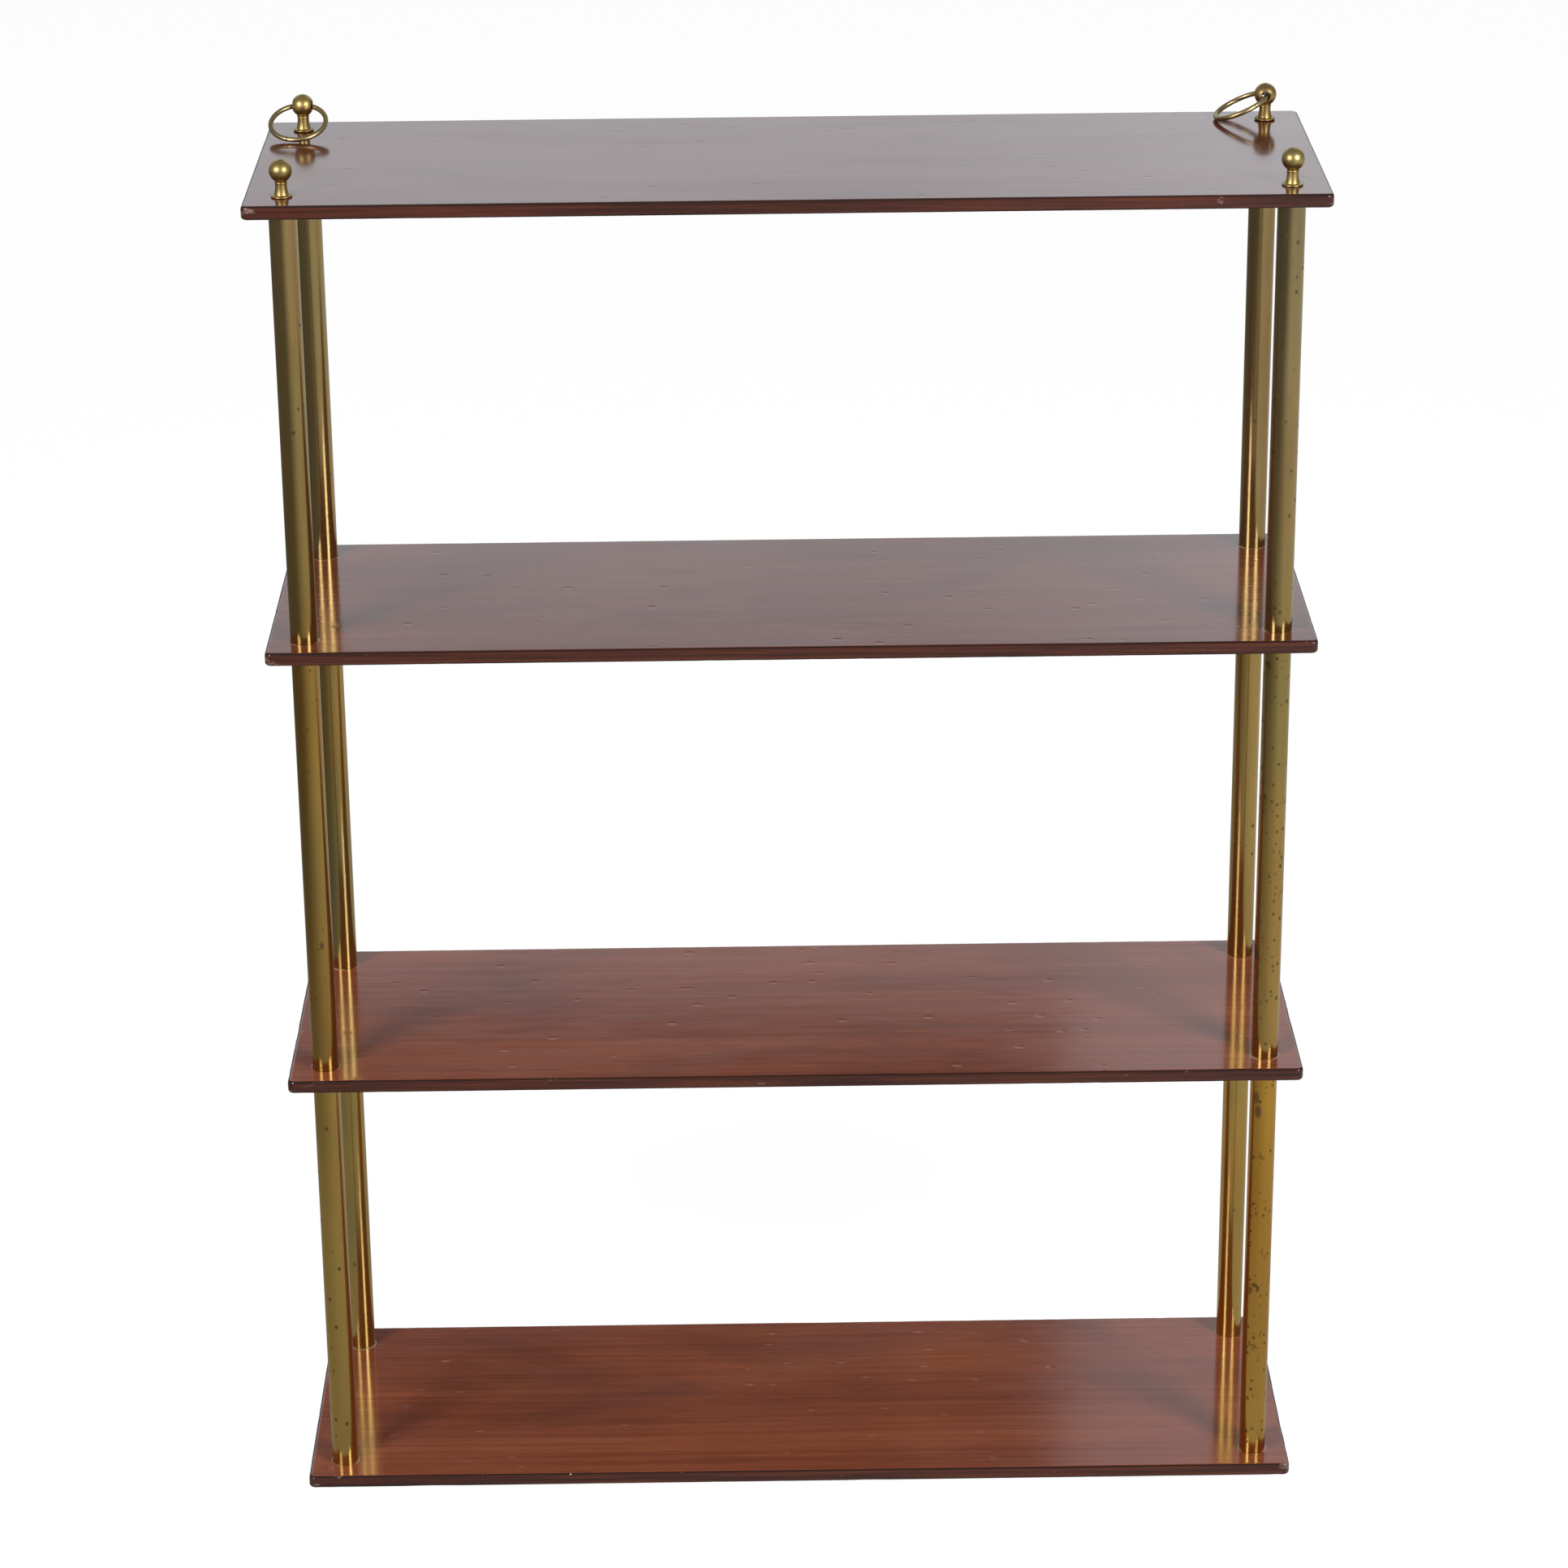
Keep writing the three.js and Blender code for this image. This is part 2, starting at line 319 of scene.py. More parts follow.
# %% [markdown]
# ## The lights
# Two large soft boxes stand in front, one at each side and both well above the shelf, so
# that every tube carries a soft bright line on each side and shadows stay faint. A single
# lamp would be simpler, but it would leave half of each tube dark.

# %% Lights
SOFT_BOX_TURN = math.radians(41)
SOFT_BOX_AWAY = 2.5
SOFT_BOX_HEIGHT = 1.80
SOFT_BOX_SIZE = 0.80
SOFT_BOX_POWER = {"left": 50.0, "right": 58.0}


def area_light(name, place, target, size, power):
    data = bpy.data.lights.new(name, "AREA")
    data.shape = "SQUARE"
    data.size = size
    data.energy = power
    light = bpy.data.objects.new(name, data)
    bpy.context.scene.collection.objects.link(light)
    light.location = place
    light.rotation_euler = (Vector(target) - Vector(place)).to_track_quat("-Z", "Y").to_euler()
    return light


shelf_middle = (0, 0, (cad_low.z + cad_high.z) / 2)
for side, direction in (("left", -1), ("right", 1)):
    place = (
        direction * SOFT_BOX_AWAY * math.sin(SOFT_BOX_TURN),
        -SOFT_BOX_AWAY * math.cos(SOFT_BOX_TURN),
        SOFT_BOX_HEIGHT,
    )
    light = area_light(f"soft_box_{side}", place, shelf_middle, SOFT_BOX_SIZE, SOFT_BOX_POWER[side])
    print(light.name, "at", [round(v, 2) for v in place], "m,", light.data.energy, "W")

# %% [markdown]
# ## A short way to write finishes
# Each finish is a node tree. Writing one node at a time hides the idea, so this small class
# gives the few steps that the finishes share: noise stretched along a direction, a colour
# ramp, a mix, some arithmetic and a bump. Positions are the piece's own, in metres, so the
# pattern stays put when a piece moves.

# %% The finish class
class Finish:
    """A material in the making: each step adds one node and returns the socket that it feeds."""

    def __init__(self, name):
        self.material = bpy.data.materials.new(name)
        self.material.use_nodes = True
        self.tree = self.material.node_tree
        self.surface = self.tree.nodes["Principled BSDF"]
        self.place = self.add("ShaderNodeTexCoord").outputs["Object"]
        self.facing = self.add("ShaderNodeTexCoord").outputs["Normal"]

    def add(self, kind):
        return self.tree.nodes.new(kind)

    def feed(self, socket, value):
        if hasattr(value, "is_output"):
            self.tree.links.new(value, socket)
        else:
            socket.default_value = value

    def stretch(self, scale, offset=(0, 0, 0), vector=None):
        node = self.add("ShaderNodeMapping")
        self.feed(node.inputs["Vector"], vector or self.place)
        node.inputs["Scale"].default_value = scale
        node.inputs["Location"].default_value = offset
        return node.outputs["Vector"]

    def noise(self, vector, scale=1.0, detail=4.0, rough=0.5, twist=0.0):
        node = self.add("ShaderNodeTexNoise")
        self.feed(node.inputs["Vector"], vector)
        node.inputs["Scale"].default_value = scale
        node.inputs["Detail"].default_value = detail
        node.inputs["Roughness"].default_value = rough
        node.inputs["Distortion"].default_value = twist
        return node.outputs["Fac"]

    def cells(self, vector):
        node = self.add("ShaderNodeTexVoronoi")
        self.feed(node.inputs["Vector"], vector)
        node.inputs["Scale"].default_value = 1.0
        return node.outputs["Distance"], node.outputs["Color"]

    def span(self, value, low, high, to_low=0.0, to_high=1.0):
        node = self.add("ShaderNodeMapRange")
        self.feed(node.inputs["Value"], value)
        node.inputs["From Min"].default_value = low
        node.inputs["From Max"].default_value = high
        node.inputs["To Min"].default_value = to_low
        node.inputs["To Max"].default_value = to_high
        return node.outputs["Result"]

    def sum(self, operation, a, b=0.0):
        node = self.add("ShaderNodeMath")
        node.operation = operation
        self.feed(node.inputs[0], a)
        self.feed(node.inputs[1], b)
        return node.outputs["Value"]

    def part(self, vector):
        node = self.add("ShaderNodeSeparateXYZ")
        self.feed(node.inputs["Vector"], vector)
        return node.outputs["X"], node.outputs["Y"], node.outputs["Z"]

    def mix(self, share, a, b, way="MIX"):
        node = self.add("ShaderNodeMix")
        node.data_type = "RGBA"
        node.blend_type = way
        self.feed(node.inputs["Factor"], share)
        self.feed(node.inputs[6], a)
        self.feed(node.inputs[7], b)
        return node.outputs[2]

    def ramp(self, value, stops):
        node = self.add("ShaderNodeValToRGB")
        self.feed(node.inputs["Fac"], value)
        marks = node.color_ramp.elements
        for i, (position, color) in enumerate(stops):
            mark = marks[i] if i < 2 else marks.new(position)
            mark.position = position
            mark.color = (*color, 1.0)
        return node.outputs["Color"]

    def bump(self, height, depth, distance=MM, before=None):
        node = self.add("ShaderNodeBump")
        self.feed(node.inputs["Height"], height)
        node.inputs["Strength"].default_value = depth
        node.inputs["Distance"].default_value = distance
        if before is not None:
            self.feed(node.inputs["Normal"], before)
        return node.outputs["Normal"]


def rgb(*parts):
    return (*parts, 1.0)


print("finish steps:", [step for step in vars(Finish) if not step.startswith("_")])

# %% [markdown]
# ## Mahogany under French polish
# The boards are straight-grained mahogany. Wood of this kind shows three things at once:
# broad soft bands of lighter and darker red, fine streaks along the grain, and short dark
# pores. Over them lies a thin, clear, glossy skin of shellac, which age has dulled in
# patches, marked and dented. The edge faces are coloured darker than the flat faces, with
# the arris rubbed pale here and there. A band of painted dark reflection runs along each
# rounded arris, for the dark surroundings that it mirrors.
#
# The wood could be a picture, but noise stretched along the grain does the same, has no
# seams and can differ from board to board with one number.

# %% Wood colours
GRAIN_DEEP = (0.085, 0.0190, 0.0085)
GRAIN_MIDDLE = (0.160, 0.0400, 0.0175)
GRAIN_LIGHT = (0.230, 0.0660, 0.0290)
PORE = rgb(0.030, 0.009, 0.006)
SMOKE = rgb(0.040, 0.017, 0.012)
EDGE_DARK = rgb(0.036, 0.0100, 0.0060)
EDGE_RED = rgb(0.118, 0.0290, 0.0140)
# Painted dark reflection: the near-black colour of the band along each rounded arris.
ARRIS_PAINTED_REFLECTION = rgb(0.016, 0.0070, 0.0060)
WORN_WOOD = rgb(0.30, 0.20, 0.17)
OLD_WAX = rgb(0.60, 0.52, 0.45)
CORNER_REACH = 22 * MM  # how far in from a corner its wear reaches
WAX_INNER, WAX_OUTER = 0.8 * MM, 1.2 * MM  # the wax line's fade, out from a post's side
print("grain from", GRAIN_DEEP, "to", GRAIN_LIGHT)

# %% [markdown]
# ## Marks on the wood
# Wax gathers in a ring round the foot of each post, where a cloth can't reach. Corners and
# arrises are rubbed through to pale wood. The rings are worked out from the distance to
# each post, and the wear from the distance to the board's ends and sides, so both fall in
# the right place on any board.

# %% Wax and wear
def foot_rings(finish, spots, inner, outer):
    """A soft disc about each spot, for the wax at a post's foot: the tube hides all but its rim."""
    x, y, _ = finish.part(finish.place)
    mask = 0.0
    for spot in spots:
        dx = finish.sum("SUBTRACT", x, spot.x)
        dy = finish.sum("SUBTRACT", y, spot.y)
        squared = finish.sum("ADD", finish.sum("MULTIPLY", dx, dx), finish.sum("MULTIPLY", dy, dy))
        away = finish.sum("SQRT", squared)
        ring = finish.span(away, outer, inner)
        mask = finish.sum("MAXIMUM", mask, ring)
    return mask


def old_wax(finish, wax_spots):
    """A broken line of wax round each post's foot."""
    wax = foot_rings(finish, wax_spots, tube_radius + WAX_INNER, tube_radius + WAX_OUTER)
    wax_break = finish.span(finish.noise(finish.place, scale=90.0, detail=4.0), 0.42, 0.60)
    return finish.sum("MULTIPLY", finish.sum("MULTIPLY", wax, wax_break), 0.65)


def rubbed_through(finish, size, seed, on_face):
    """A mask for pale wear: more of it along the edges and at the corners than on the faces."""
    x, y, _ = finish.part(finish.place)
    near_end = finish.span(finish.sum("ABSOLUTE", x), size.x / 2 - CORNER_REACH, size.x / 2)
    near_side = finish.span(finish.sum("ABSOLUTE", y), size.y / 2 - CORNER_REACH, size.y / 2)
    at_corner = finish.sum("MULTIPLY", near_end, near_side)
    rub = finish.noise(finish.stretch((70.0, 70.0, 190.0), (seed, 0, 0)), detail=6.0, rough=0.7)
    rub = finish.sum("ADD", rub, finish.sum("MULTIPLY", at_corner, 0.14))
    rubbed = finish.sum("MULTIPLY", finish.span(rub, 0.655, 0.74), finish.span(on_face, 1.0, 0.2))
    scuffed = finish.sum("MULTIPLY", finish.span(rub, 0.70, 0.82), 0.45)
    return finish.sum("MAXIMUM", rubbed, scuffed)


print("wax line", round((tube_radius + WAX_OUTER) / MM, 1), "mm from each post's middle")

# %% [markdown]
# ## Grain, colour and polish
# The grain noises are stretched along X, and bent a little by a slow waver so that no streak
# runs dead straight. Bands, streaks, lines and figure are added with shares that make one
# whole, and one ramp turns their sum into colour. The polish is roughness and bump: dull
# clouds, fine wiping marks along the grain, low hills and a few small dents.

# %% Grain
def grain(finish, along, shift, warmth):
    """The wood's bare colour, with the streaks and lines that other steps use again."""
    bands = finish.noise(finish.stretch((1.6, 22.0, 22.0), shift, along), detail=3.0, rough=0.55)
    streaks = finish.noise(finish.stretch((7.0, 420.0, 420.0), shift, along), detail=5.0, rough=0.62)
    fibres = finish.noise(finish.stretch((45.0, 1900.0, 1900.0), shift, along), detail=2.0, rough=0.6)
    figure = finish.noise(finish.stretch((9.0, 4.0, 4.0), shift), detail=2.0, twist=0.6)
    lines = finish.noise(finish.stretch((4.0, 210.0, 210.0), shift, along), detail=3.0, rough=0.7)
    tone = finish.sum("MULTIPLY", bands, 0.36)
    for layer, share in ((streaks, 0.30), (lines, 0.24), (figure, 0.10)):
        tone = finish.sum("ADD", tone, finish.sum("MULTIPLY", layer, share))
    tone = finish.sum("ADD", tone, warmth)
    wood = finish.ramp(tone, [(0.34, GRAIN_DEEP), (0.68, GRAIN_LIGHT), (0.5, GRAIN_MIDDLE)])
    pores = finish.span(fibres, 0.60, 0.72)
    wood = finish.mix(finish.sum("MULTIPLY", pores, 0.55), wood, PORE)
    return wood, streaks, lines


def polished(finish, shift, seed, polish, rubbed, wax, lines):
    """Roughness and bump of the old French polish."""
    clouds = finish.stretch((7.0, 16.0, 16.0), (0, seed * 2.3, 0))
    dull = finish.noise(clouds, detail=6.0, rough=0.62, twist=0.5)
    wiped = finish.noise(finish.stretch((30.0, 260.0, 260.0), shift), detail=4.0, rough=0.6)
    gloss = finish.span(dull, 0.44, 0.74, polish, polish + 0.04)
    gloss = finish.sum("ADD", gloss, finish.span(wiped, 0.3, 0.75, -0.008, 0.014))
    gloss = finish.sum("ADD", gloss, finish.sum("MULTIPLY", rubbed, 0.30))
    gloss = finish.sum("ADD", gloss, finish.sum("MULTIPLY", wax, 0.35))
    finish.feed(finish.surface.inputs["Roughness"], gloss)
    finish.surface.inputs["IOR"].default_value = 1.5
    hills = finish.noise(finish.stretch((14.0, 40.0, 40.0), shift), detail=2.0)
    skin = finish.bump(hills, 0.10, 0.5 * MM)
    skin = finish.bump(lines, 0.06, 0.05 * MM, skin)
    near, _ = finish.cells(finish.stretch((38.0, 60.0, 60.0), shift))
    dents = finish.span(near, 0.06, 0.14)
    skin = finish.bump(dents, 0.35, 0.12 * MM, skin)
    finish.feed(finish.surface.inputs["Normal"], skin)


def mahogany(name, size, seed, warmth, depth, polish, wax_spots):
    """One board's finish: warmth lightens the grain, and depth scales its colour, 1 for as it is."""
    finish = Finish(name)
    shift = (seed * 0.37, seed * 1.91, seed * 0.53)
    waver = finish.noise(finish.stretch((2.2, 7.0, 7.0), shift), detail=2.0)
    bent = finish.add("ShaderNodeVectorMath")
    bent.operation = "MULTIPLY_ADD"
    finish.feed(bent.inputs[0], waver)
    bent.inputs[1].default_value = (0.0, 0.012, 0.006)
    finish.feed(bent.inputs[2], finish.place)
    along = bent.outputs["Vector"]
    wood, streaks, lines = grain(finish, along, shift, warmth)

    patches = finish.stretch((4.5, 8.0, 8.0), (seed * 3.1, seed, 0))
    smoke = finish.noise(patches, detail=5.0, rough=0.6, twist=0.8)
    smoke = finish.span(smoke, 0.55, 0.78)
    wood = finish.mix(finish.sum("MULTIPLY", smoke, 0.55), wood, SMOKE)
    wood = finish.mix(1.0, wood, rgb(depth, depth, depth), "MULTIPLY")

    # Faces that stand upright take the darker edge colours, picked by the way the surface faces.
    _, _, up = finish.part(finish.facing)
    level = finish.span(finish.sum("ABSOLUTE", up), 0.10, 0.97)
    edge_wood = finish.mix(finish.span(streaks, 0.38, 0.66), EDGE_DARK, EDGE_RED)
    on_face = finish.span(level, 0.93, 1.0)
    # Painted dark reflection: the arris band, between the upright edge and the flat face, is coloured
    # near-black for the dark surroundings it mirrors.
    arris_reflection_band = finish.sum("MULTIPLY", finish.span(level, 0.30, 0.75), finish.span(level, 1.0, 0.93))
    edge_wood = finish.mix(arris_reflection_band, edge_wood, ARRIS_PAINTED_REFLECTION)
    wood = finish.mix(on_face, edge_wood, wood)

    rubbed = rubbed_through(finish, size, seed, on_face)
    wood = finish.mix(finish.sum("MULTIPLY", rubbed, 0.7), wood, WORN_WOOD)

    near, pick = finish.cells(finish.stretch((15.0, 15.0, 15.0), shift))
    chosen, _, _ = finish.part(pick)
    fleck = finish.sum("MULTIPLY", finish.span(near, 0.011, 0.007), finish.span(chosen, 0.80, 0.81))
    wood = finish.mix(finish.sum("MULTIPLY", fleck, 0.7), wood, OLD_WAX)

    wax = old_wax(finish, wax_spots)
    wood = finish.mix(wax, wood, OLD_WAX)
    finish.feed(finish.surface.inputs["Base Color"], wood)
    polished(finish, shift, seed, polish, rubbed, wax, lines)
    return finish.material


# %% [markdown]
# ## The boards
# Each board is planed to eight millimetres, its corners rounded in plan and its arrises
# softened. Shallow seats for the tube ends are sunk in its faces. It could be a cube with a
# bevel, but a real edge has been knocked for a hundred years: so the outline is walked in
# short steps, and the arris is dented slightly, here and there, where a slow noise is high.

# %% Shaping helpers
ON_AXIS = 1e-7  # metres; a point nearer than this lies on the lathe's axis
CREASE = math.radians(35)  # edges bent more than this stay crisp


def make_piece(name, mesh_data, material):
    mesh = bpy.data.meshes.new(name)
    mesh_data.to_mesh(mesh)
    mesh_data.free()
    piece = bpy.data.objects.new(name, mesh)
    bpy.context.scene.collection.objects.link(piece)
    mesh.materials.append(material)
    mesh.shade_smooth()
    mesh.set_sharp_from_angle(angle=CREASE)
    return piece


def stand_for(piece, node, body):
    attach(piece, body)
    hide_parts(node)
    return piece


def turned(outline, steps, axis="Z"):
    """A closed solid from an outline of (radius, height), in metres, turned about an axis."""
    solid = bmesh.new()
    rows = []
    round_about = [(math.cos(TURN * i / steps), math.sin(TURN * i / steps)) for i in range(steps)]
    for radius, height in outline:
        if radius < ON_AXIS:
            rows.append([solid.verts.new((0, 0, height))])
        else:
            rows.append([solid.verts.new((radius * x, radius * y, height)) for x, y in round_about])
    pairs = list(zip(rows, rows[1:]))
    off_axis = len(rows[0]) > 1
    if off_axis:
        pairs.append((rows[-1], rows[0]))
    for a, b in pairs:
        for i in range(steps):
            j = (i + 1) % steps
            corners = [a[i % len(a)], a[j % len(a)], b[j % len(b)], b[i % len(b)]]
            unique = list(dict.fromkeys(corners))
            if len(unique) > 2:
                solid.faces.new(unique)
    if axis == "X":
        bmesh.ops.rotate(solid, verts=solid.verts, matrix=Matrix.Rotation(math.pi / 2, 3, "Y"))
    bmesh.ops.recalc_face_normals(solid, faces=solid.faces)
    return solid


def arc(radius, height, size, start, end, steps):
    """Points on an arc of an outline, in the outline's own plane, angles in degrees."""
    points = []
    for i in range(steps + 1):
        angle = math.radians(start + (end - start) * i / steps)
        points.append((radius + size * math.cos(angle), height + size * math.sin(angle)))
    return points


def combine(piece, cutter_data, how):
    """Cuts or joins a second solid into a piece, and keeps the result as plain mesh."""
    mesh = bpy.data.meshes.new("cutter")
    cutter_data.to_mesh(mesh)
    cutter_data.free()
    cutter = bpy.data.objects.new("cutter", mesh)
    bpy.context.scene.collection.objects.link(cutter)
    step = piece.modifiers.new("shape", "BOOLEAN")
    step.operation = how
    step.solver = "EXACT"
    step.object = cutter
    bpy.context.view_layer.update()
    shaped = bpy.data.meshes.new_from_object(piece.evaluated_get(bpy.context.evaluated_depsgraph_get()))
    piece.modifiers.clear()
    piece.data = shaped
    bpy.data.objects.remove(cutter)


print("a lathe and a cutter are ready")

# %% [markdown]
# ## Planing a board
# The outline is walked once round in short steps. Each level of the arris is that outline
# set in a little, so one set of loops, joined face by face, makes the rounded edge. A bevel
# tool would give the same curve but no dents. The seats are small turned discs, cut out of
# the faces where the posts stand, with a fine lead-in so that the cut edge isn't razor sharp.

# %% Board shape
CORNER_RADIUS = 4 * MM
ARRIS = 1.9 * MM
ARRIS_STEPS = 7
CORNER_STEPS = 10
EDGE_STEP = 4 * MM
SEAT_DEPTH = 1 * MM
SEAT_GAP = 0.12 * MM
SEAT_LEAD = 0.08 * MM
SEAT_STEPS = 72
FLAT_MARGIN = 0.4 * MM


def board_outline(half_x, half_y, radius):
    """The plan outline, counter-clockwise, with the outward direction at each point."""
    points = []
    quarters = ((1, 1, 0), (-1, 1, 90), (-1, -1, 180), (1, -1, 270))
    for index, (sx, sy, start) in enumerate(quarters):
        centre = Vector((sx * (half_x - radius), sy * (half_y - radius)))
        for i in range(CORNER_STEPS + 1):
            angle = math.radians(start + 90 * i / CORNER_STEPS)
            out = Vector((math.cos(angle), math.sin(angle)))
            points.append((centre + radius * out, out))
        nx, ny, _ = quarters[(index + 1) % 4]
        goal = Vector((nx * (half_x - radius), ny * (half_y - radius))) + radius * out
        here = points[-1][0]
        count = int((goal - here).length / EDGE_STEP)
        for i in range(1, count):
            points.append((here.lerp(goal, i / count), out))
    return points


def knocks(point, seed):
    """How deep the edge is dented at a point, in metres."""
    slow = noise.noise(Vector((point.x * 26 + seed * 7.3, point.y * 26, point.z * 60)))
    quick = noise.noise(Vector((point.x * 140, point.y * 140 + seed * 3.1, point.z * 300)))
    return max(0.0, slow - 0.28) * 0.9 * MM + max(0.0, quick - 0.34) * 0.7 * MM


def board_solid(node, seed):
    """The board as loops of its outline, from the top face round the edge to the bottom face."""
    low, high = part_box(node)
    outline = board_outline((high.x - low.x) / 2, (high.y - low.y) / 2, CORNER_RADIUS)
    levels = [(ARRIS + FLAT_MARGIN, high.z)]
    for i in range(ARRIS_STEPS + 1):
        turn = math.radians(90 * i / ARRIS_STEPS)
        levels.append((ARRIS * (1 - math.sin(turn)), high.z - ARRIS * (1 - math.cos(turn))))
    levels += [(inset, low.z + high.z - z) for inset, z in reversed(levels)]
    solid = bmesh.new()
    loops = []
    for inset, z in levels:
        loop = []
        for point, out in outline:
            corner = Vector((*(point - inset * out), z))
            on_edge = inset < ARRIS * 0.99
            if on_edge:
                corner -= Vector((*out, 0)) * knocks(corner, seed)
            loop.append(solid.verts.new(corner))
        loops.append(loop)
    count = len(outline)
    for a, b in zip(loops, loops[1:]):
        for i in range(count):
            j = (i + 1) % count
            solid.faces.new((a[i], a[j], b[j], b[i]))
    solid.faces.new(loops[0])
    solid.faces.new(list(reversed(loops[-1])))
    bmesh.ops.recalc_face_normals(solid, faces=solid.faces)
    return solid


def seat(spot, z, depth, radius, up):
    """A drill's worth of wood, with a small lead-in, to take out of a board's face."""
    sign = 1 if up else -1
    outline = [(0, -sign * depth), (radius, -sign * depth), (radius, -sign * SEAT_LEAD)]
    outline += [(radius + SEAT_LEAD, 0), (radius + SEAT_LEAD, sign * MM), (0, sign * MM)]
    if not up:
        outline.reverse()
    solid = turned(outline, SEAT_STEPS)
    bmesh.ops.translate(solid, verts=solid.verts, vec=(spot.x, spot.y, z))
    return solid


board_size = spread("board_top")
walk = board_outline(board_size.x / 2, board_size.y / 2, CORNER_RADIUS)
print("a board's edge is walked in", len(walk), "steps")

# %% [markdown]
# ## Making the boards
# Each board gets its own seed, warmth and depth of colour. The lower two are the brightest
# red. The top one is dark under its shine, and shows mostly what it mirrors. Flat faces are
# kept flat and the arris smooth before any seat is cut: cutting leaves thin slivers, and a
# smooth sliver would catch the light as a dark line.

# %% Make the boards
BOARD_LOOKS = {
    "board_bottom": {"seed": 3, "warmth": 0.03, "depth": 1.40, "polish": 0.10},
    "board_lower": {"seed": 7, "warmth": 0.03, "depth": 1.32, "polish": 0.10},
    "board_upper": {"seed": 11, "warmth": 0.00, "depth": 0.95, "polish": 0.11},
    "board_top": {"seed": 19, "warmth": 0.00, "depth": 0.75, "polish": 0.11},
}
NUT_POCKET_GAP = 0.3 * MM
nut_radius = spread("nut_front_left").x / 2
for node in BOARDS:
    looks = BOARD_LOOKS[node]
    low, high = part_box(node)
    wax_spots = [] if node == "board_top" else list(posts.values())
    wood = mahogany(f"{node}_mahogany", high - low, wax_spots=wax_spots, **looks)
    board = make_piece(f"{node}_polished", board_solid(node, looks["seed"]), wood)
    for polygon in board.data.polygons:
        polygon.use_smooth = len(polygon.vertices) == 4
    for spot in posts.values():
        if node != "board_top":
            combine(board, seat(spot, high.z, SEAT_DEPTH, tube_radius + SEAT_GAP, True), "DIFFERENCE")
        if node == "board_bottom":
            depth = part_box("nut_front_left")[1].z - low.z
            combine(board, seat(spot, low.z, depth, nut_radius + NUT_POCKET_GAP, False), "DIFFERENCE")
        else:
            combine(board, seat(spot, low.z, SEAT_DEPTH, tube_radius + SEAT_GAP, False), "DIFFERENCE")
    stand_for(board, node, "frame")
    print(node, len(board.data.polygons), "faces")

# %% [markdown]
# ## Old brass
# Unlacquered brass goes from gold to olive and brown as it ages. Drawn tube keeps long faint
# lines along its length; hands keep balls and rings cleaner than tubes; damp leaves dark
# specks. So the colour is mixed from three browns and golds by noise stretched along the
# tube, with specks from a cell pattern, and the dull places are rougher.

# %% Brass colours, stains and tints
WARM_TINT = rgb(1.0, 0.80, 0.48)
COOL_TINT = rgb(0.74, 0.84, 0.95)
WHITE = rgb(1.0, 1.0, 1.0)
STAIN_BROWN = rgb(0.120, 0.070, 0.055)
STAIN_SQUASH = 0.45


def stain(finish, spot, reach, ragged):
    """A mask for one tall, ragged stain about a point on the metal."""
    away = finish.add("ShaderNodeVectorMath")
    away.operation = "DISTANCE"
    finish.feed(away.inputs[0], finish.stretch((1.0, 1.0, STAIN_SQUASH)))
    away.inputs[1].default_value = (spot.x, spot.y, spot.z * STAIN_SQUASH)
    edge = finish.sum("ADD", away.outputs["Value"], finish.sum("MULTIPLY", ragged, reach * 1.6))
    return finish.span(edge, reach * 1.75, reach * 1.35, 0.0, 0.7)


def tinted(finish, metal, low, high, warmth):
    """Makes the metal redder or greyer from its foot to its head; warmth is one number for each."""
    _, _, height = finish.part(finish.place)
    share = finish.span(height, low, high, *warmth)
    warm = finish.mix(finish.sum("MAXIMUM", share, 0.0), WHITE, WARM_TINT)
    cool = finish.mix(finish.sum("MAXIMUM", finish.sum("MULTIPLY", share, -1.0), 0.0), WHITE, COOL_TINT)
    return finish.mix(1.0, metal, finish.mix(1.0, warm, cool, "MULTIPLY"), "MULTIPLY")


print("tints from", WARM_TINT[:3], "to", COOL_TINT[:3])

# %% [markdown]
# ## The brass itself
# Two noises, one of clouds and one of drawn lines, share out gold and brown, and a third
# lets green in. Specks come from cells: each cell has a random number, and only the few
# with a high one get a dark dot. More specks also mean larger blots. The dark places are
# rougher and stand up by a hair, as corrosion does.

# %% Brass
SPECK_BROWN = rgb(0.075, 0.038, 0.020)


